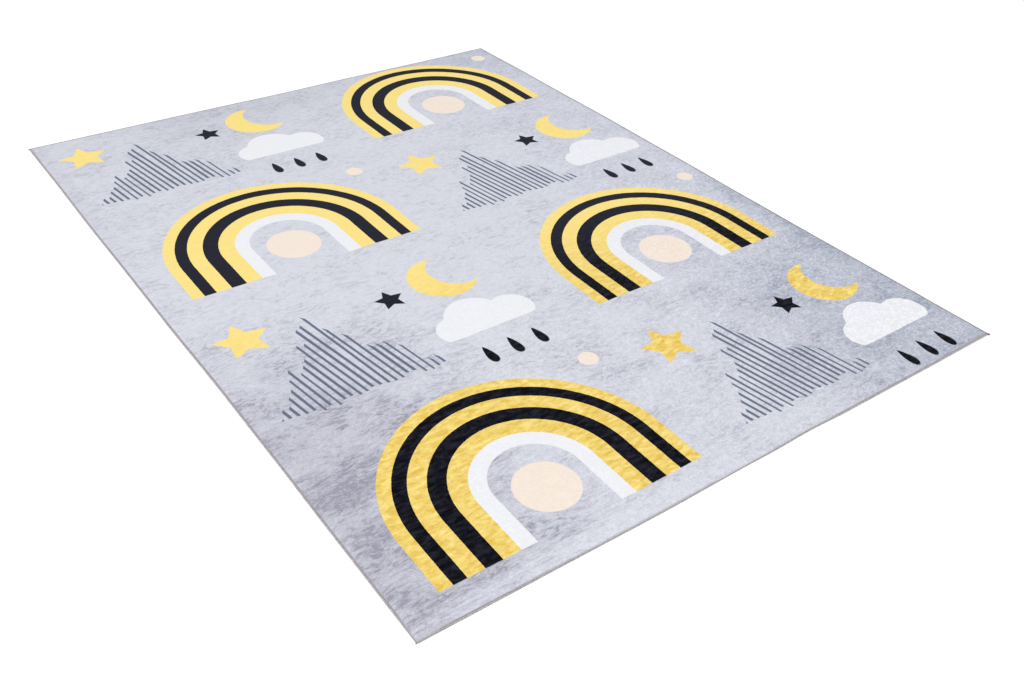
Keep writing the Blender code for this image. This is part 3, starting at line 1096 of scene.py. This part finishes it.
def addThreadEnds(piece, ends):
    # Short tapering tubes that bend as they go, added to the stitches' mesh. A tint below zero paints them in
    # shade.
    sides, steps = 6, 5
    taper, sink = 0.45, 0.00006    # share of the radius lost by the tip, and how fast the end comes down
    mesh = bmesh.new()
    mesh.from_mesh(piece.data)
    tint = mesh.verts.layers.float["yarnTintAndEndShade"]
    for end in ends:
        u, v, height = end["place"]
        centre = Vector(layCloth(np.array([u]), np.array([v]), height)[0])
        rings = []
        for step in range(steps + 1):
            turn = radians(end["heading"] + end["bend"] * step / steps)
            along = Vector((cos(turn), sin(turn), 0))
            across = Vector((-sin(turn), cos(turn), 0))
            radius = end["radius"] * (1 - taper * step / steps)
            centre.z = max(centre.z - sink * step, radius)
            spokes = [2 * pi * side / sides for side in range(sides)]
            rings.append([mesh.verts.new(centre + radius * (across * cos(a) + Vector((0, 0, sin(a)))))
                          for a in spokes])
            centre = centre + along * end["length"] / steps
        for first, second in zip(rings, rings[1:]):
            for side in range(sides):
                after = (side + 1) % sides
                mesh.faces.new((first[side], first[after], second[after], second[side]))
        mesh.faces.new(rings[0][::-1])
        mesh.faces.new(rings[-1])
        for point in sum(rings, []):
            point[tint] = -1
    mesh.to_mesh(piece.data)
    mesh.free()
    piece.data.shade_smooth()


yarnMaterial = buildYarnMaterial()
stitchTree = buildOverlockTree()
edges = {side: stitchSide(side, stitchTree, yarnMaterial) for side in ("front", "back", "left", "right")}
for side, ends in threadEnds.items():
    addThreadEnds(edges[side], ends)
print("edges stitched:", {side: len(piece.data.polygons) for side, piece in edges.items()})


studio = {
    "floorSize": 24.0,
    "floorDrop": 0.0002,        # below the backing, for the stitches under it
    "floorColour": (0.99, 0.99, 0.99, 1),
    "skyStrength": 0.645,
    "keyPower": 950.0,
    "keySize": 4.5,
    "keyPlace": (-5.4, -2.7, 10.8),
    "keyAim": (0.0, -0.1, 0.0),
}
photoView = {
    "azimuth": radians(-37.63816),
    "elevation": radians(35.99056),
    "roll": radians(2.81932),
    "distance": 1.83492,
    "aim": (-0.13269, -0.35214, 0.0),
    "lens": 37.628,             # mm, on a sensor this wide
    "sensor": 36,
}


def buildFloor():
    half = studio["floorSize"] / 2
    mesh = bpy.data.meshes.new("floor")
    corners = [(-half, -half), (half, -half), (half, half), (-half, half)]
    mesh.from_pydata([(*corner, -studio["floorDrop"]) for corner in corners], [], [(0, 1, 2, 3)])
    material, _, shader = newMaterial("paleFloor", roughness=0.9)
    shader.inputs["Base Color"].default_value = studio["floorColour"]
    mesh.materials.append(material)
    floor = addObject("floor", mesh)
    return floor


def buildLight():
    world = bpy.data.worlds.new("studio")
    bpy.context.scene.world = world
    world.use_nodes = True
    sky = world.node_tree.nodes["Background"]
    sky.inputs["Color"].default_value = (1, 1, 1, 1)
    sky.inputs["Strength"].default_value = studio["skyStrength"]
    lamp = bpy.data.lights.new("key", "AREA")
    lamp.shape = "DISK"
    lamp.size = studio["keySize"]
    lamp.energy = studio["keyPower"]
    key = addObject("key", lamp)
    key.location = studio["keyPlace"]
    key.rotation_euler = (Vector(studio["keyAim"]) - key.location).to_track_quat("-Z", "Y").to_euler()
    bpy.context.scene.view_settings.view_transform = "Standard"


def buildCamera():
    data = bpy.data.cameras.new("camera")
    data.sensor_width = photoView["sensor"]
    data.lens = photoView["lens"]
    camera = addObject("camera", data)
    turn = (Matrix.Rotation(photoView["azimuth"], 4, "Z")
            @ Matrix.Rotation(pi / 2 - photoView["elevation"], 4, "X")
            @ Matrix.Rotation(photoView["roll"], 4, "Z"))
    back = turn.to_3x3() @ Vector((0, 0, photoView["distance"]))
    camera.matrix_world = Matrix.Translation(Vector(photoView["aim"]) + back) @ turn
    bpy.context.scene.camera = camera


floor = buildFloor()
buildLight()
buildCamera()
print("floor, light and camera set")

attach(rugCloth, "root")
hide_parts("rug_panel")
for side, piece in edges.items():
    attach(piece, "root")
    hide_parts("overlock_" + side)
